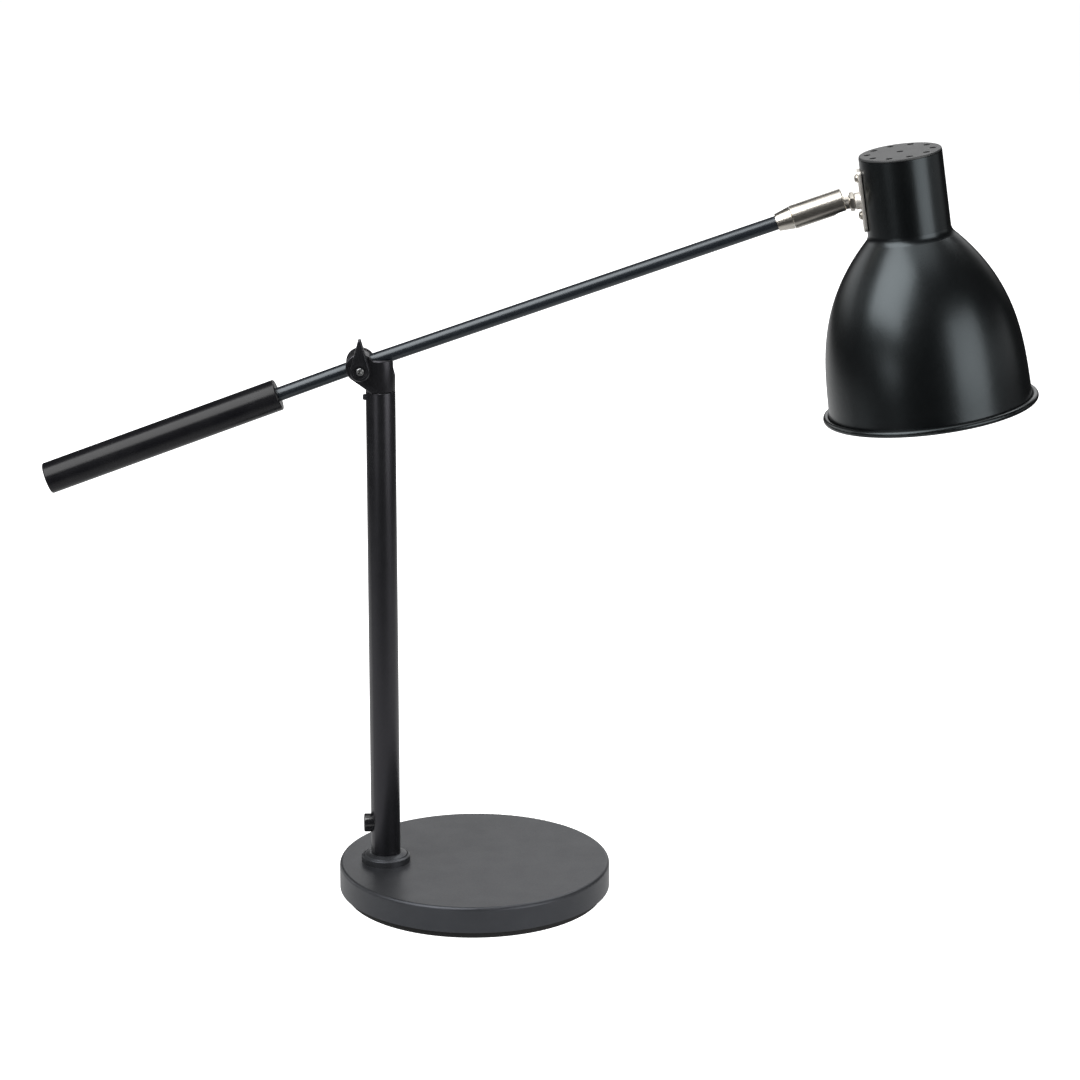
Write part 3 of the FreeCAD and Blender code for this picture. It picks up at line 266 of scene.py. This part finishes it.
def spun(tree, axis, scale):
    """Fine rings square to an axis, left by the tool that a sheet is spun with."""
    place = add_node(tree, "ShaderNodeTexCoord")
    along = add_node(tree, "ShaderNodeVectorMath", operation="DOT_PRODUCT")
    tree.links.new(place.outputs["Object"], along.inputs[0])
    along.inputs[1].default_value = axis
    made = add_node(tree, "ShaderNodeTexNoise", noise_dimensions="1D", Scale=scale, Detail=3.0)
    tree.links.new(along.outputs["Value"], made.inputs["W"])
    return made.outputs[0]


def spread(tree, source, low, high):
    """The middle of the noise's range drawn out between two values."""
    made = add_node(tree, "ShaderNodeMapRange")
    for name, value in (("From Min", NOISE_MIDDLE[0]), ("From Max", NOISE_MIDDLE[1]),
                        ("To Min", low), ("To Max", high)):
        made.inputs[name].default_value = value
    tree.links.new(source, made.inputs["Value"])
    return made.outputs["Result"]


def between(tree, source, first, second):
    """Colour that drifts between two close colours."""
    made = add_node(tree, "ShaderNodeMix", data_type="RGBA")
    made.inputs[6].default_value = (*first, 1)
    made.inputs[7].default_value = (*second, 1)
    tree.links.new(source, made.inputs[0])
    return made.outputs[2]


def relief(tree, height, depth, under=None):
    """Bumps of a depth in metres, on top of coarser ones where there are any."""
    made = add_node(tree, "ShaderNodeBump", Strength=1.0, Distance=depth)
    tree.links.new(height, made.inputs["Height"])
    if under:
        tree.links.new(under, made.inputs["Normal"])
    return made.outputs["Normal"]


def finish(name, first, second, rough, grain, depth, drift=60.0, fine=None, rings=None,
           **shader):
    """Finish whose colour and roughness drift between two values each.

    The grain is given in specks per metre with its depth, and the drift in clouds per metre.
    A fine grain is a pair of the same, and rings have an axis before it.
    """
    made = bpy.data.materials.new(name)
    made.use_nodes = True
    tree = made.node_tree
    tree.nodes.clear()
    body = add_node(tree, "ShaderNodeBsdfPrincipled", **shader)
    clouds = noise(tree, drift, 3.0)
    specks = noise(tree, grain)
    halves = [spread(tree, source, rough[0] / 2, rough[1] / 2) for source in (clouds, specks)]
    surface = relief(tree, specks, depth)
    if fine:
        surface = relief(tree, noise(tree, fine[0], 1.0), fine[1], surface)
    if rings:
        surface = relief(tree, spun(tree, *rings[:2]), rings[2], surface)
    tree.links.new(between(tree, spread(tree, clouds, 0, 1), first, second),
                   body.inputs["Base Color"])
    tree.links.new(maths(tree, "ADD", *halves), body.inputs["Roughness"])
    tree.links.new(surface, body.inputs["Normal"])
    out = add_node(tree, "ShaderNodeOutputMaterial")
    tree.links.new(body.outputs[0], out.inputs[0])
    return made


# By the slots of the record: name, two colours, roughness, grain and its depth.
FINISHES = {
    "black_coat": finish("black_powder_coat", (0.012, 0.0125, 0.0135), (0.015, 0.0155, 0.0165),
                         (0.36, 0.46), 1300, 0.00002, fine=(3200, 0.000006), IOR=1.5,
                         Specular_Tint=(0.85, 0.89, 1.0, 1)),
    "column_coat": finish("satin_powder_coat", (0.0036, 0.0038, 0.0043), (0.0048, 0.005, 0.0056),
                          (0.3, 0.38), 1300, 0.000012, fine=(3200, 0.000004), IOR=1.5,
                          Specular_Tint=(0.92, 0.9, 1.0, 1)),
    "shade_coat": finish("satin_black_paint", (0.0009, 0.001, 0.0012), (0.0015, 0.0016, 0.0018),
                         (0.27, 0.34), 900, 0.00001, drift=30, fine=(2600, 0.000003),
                         rings=(SHADE_AXIS, 700, 0.00001), IOR=1.5,
                         Specular_Tint=(0.84, 0.95, 1.0, 1)),
    "cap_coat": finish("satin_cap_paint", (0.02, 0.021, 0.022), (0.026, 0.027, 0.028),
                       (0.4, 0.5), 1200, 0.000012, IOR=1.5),
    "arm_coat": finish("blue_black_lacquer", (0.005, 0.0068, 0.009), (0.007, 0.009, 0.012),
                       (0.28, 0.31), 900, 0.0000006, IOR=1.55,
                       Specular_Tint=(0.88, 0.95, 1.0, 1)),
    "counterweight_coat": finish("gloss_black_lacquer", (0.0035, 0.0035, 0.0045),
                                 (0.006, 0.006, 0.007), (0.24, 0.27), 700, 0.0000005, IOR=1.3),
    "iron": finish("cast_iron", (0.05, 0.05, 0.052), (0.09, 0.085, 0.08), (0.55, 0.8), 700,
                   0.00012, Metallic=0.6),
    # Black rubber, made darker than the inlet's rubber as painted shade under the base.
    "pad": finish("base_pad_rubber_and_painted_shade", (0.003, 0.003, 0.003), (0.005, 0.005, 0.005), (0.75, 0.9),
                  1800, 0.00008),
    "rubber": finish("inlet_rubber", (0.014, 0.014, 0.014), (0.022, 0.022, 0.022), (0.6, 0.75),
                     1500, 0.00003),
    "gloss_black": finish("button_plastic", (0.006, 0.006, 0.007), (0.009, 0.009, 0.01),
                          (0.1, 0.18), 600, 0.000004),
    "black_plastic": finish("moulded_plastic", (0.013, 0.013, 0.0135), (0.019, 0.019, 0.02),
                            (0.42, 0.58), 2200, 0.00003),
    "steel": finish("zinc_plate", (0.5, 0.51, 0.52), (0.62, 0.62, 0.6), (0.24, 0.4), 1500,
                    0.000008, Metallic=1.0),
    "nickel": finish("polished_nickel", (0.5, 0.475, 0.43), (0.56, 0.53, 0.48), (0.27, 0.33), 900,
                     0.0000004, Metallic=1.0),
    # Satin nickel whose colour is lighter than the polished nickel above: the extra lightness is
    # painted highlight, the light that the plate catches.
    "satin_nickel_painted_highlight": finish("satin_nickel_painted_highlight", (0.78, 0.75, 0.7), (0.85, 0.82, 0.77), (0.5, 0.58), 900,
                           0.000001, Metallic=1.0),
    "brass": finish("turned_brass", (0.6, 0.42, 0.17), (0.74, 0.54, 0.24), (0.22, 0.36), 1400,
                    0.000008, Metallic=1.0),
    "glass": finish("opal_glass", (0.86, 0.86, 0.83), (0.92, 0.92, 0.9), (0.12, 0.2), 60,
                    0.00001, Subsurface_Weight=0.3),
}

# Solids whose finish isn't that of their slot; the shade's plate gets the lighter nickel, which is
# painted highlight.
COATS = {"shade_plate": "satin_nickel_painted_highlight", "column_flange": "black_coat",
         "bracket_screw": "black_coat", "column_tube": "column_coat", "bracket": "column_coat",
         "arm_hub": "column_coat", "wing_knob": "column_coat"}

# Solids whose sharp edges are rounded, and by how many millimetres.
EASED = {"bracket": 0.4, "wing_knob": 0.5, "arm_hub": 0.3, "column_tube": 0.15,
         "stem_lock_nut": 0.2, "shade_plate": 0.5, "plate_screws": 0.12, "bracket_screw": 0.12,
         "pivot_bolt": 0.1, "pivot_nut": 0.2, "knob_washer": 0.12, "ball_stem": 0.1,
         "lampholder": 0.4, "cable_inlet": 0.15, "base_pad": 0.3, "switch_button": 0.1}
SHARP = 0.45                 # radians between faces that meet in an edge to be rounded
FLAT = 0.002                 # radians between faces that are one flat face
SMOOTH = 0.6                 # radians below which neighbouring faces are shaded as one
SAME_PLACE = 0.000002        # distance below which two corners are one
ROUND_STEPS = 2


def eased_edges(node, width):
    """Copy of a solid with its sharp edges rounded, as tumbled or painted ones are."""
    solid = NODES[node]
    bpy.ops.object.select_all(action="DESELECT")
    piece = bpy.data.objects.new(node + "_eased", solid.data.copy())
    bpy.context.collection.objects.link(piece)
    piece.select_set(True)
    bpy.context.view_layer.objects.active = piece
    bpy.ops.object.mode_set(mode="EDIT")
    bpy.ops.mesh.select_all(action="SELECT")
    bpy.ops.mesh.customdata_custom_splitnormals_clear()
    bpy.ops.mesh.remove_doubles(threshold=SAME_PLACE)
    bpy.ops.mesh.dissolve_limited(angle_limit=FLAT)
    bpy.ops.mesh.select_all(action="DESELECT")
    bpy.ops.mesh.select_mode(type="EDGE")
    bpy.ops.mesh.edges_select_sharp(sharpness=SHARP)
    bpy.ops.mesh.bevel(offset=width / 1000, segments=ROUND_STEPS, profile=0.5, clamp_overlap=True)
    bpy.ops.object.mode_set(mode="OBJECT")
    bpy.ops.object.shade_smooth_by_angle(angle=SMOOTH)
    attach(piece, solid["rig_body"])
    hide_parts(node)


def dress_nodes():
    """Every solid gets its own finish, or else that of its slot in the record."""
    for row in frame["record"]["subparts"]:
        solid = NODES[row["node"]]
        solid.data.materials.clear()
        coat = COATS.get(row["node"], row["material_slot"])
        solid.data.materials.append(FINISHES[coat])


white_floor()
studio_world()
for lamp in LIGHTS:
    soft_light(*lamp)
camera()
dress_nodes()
for node, width in EASED.items():
    eased_edges(node, width)

scene = bpy.context.scene
scene.view_settings.view_transform = "Standard"
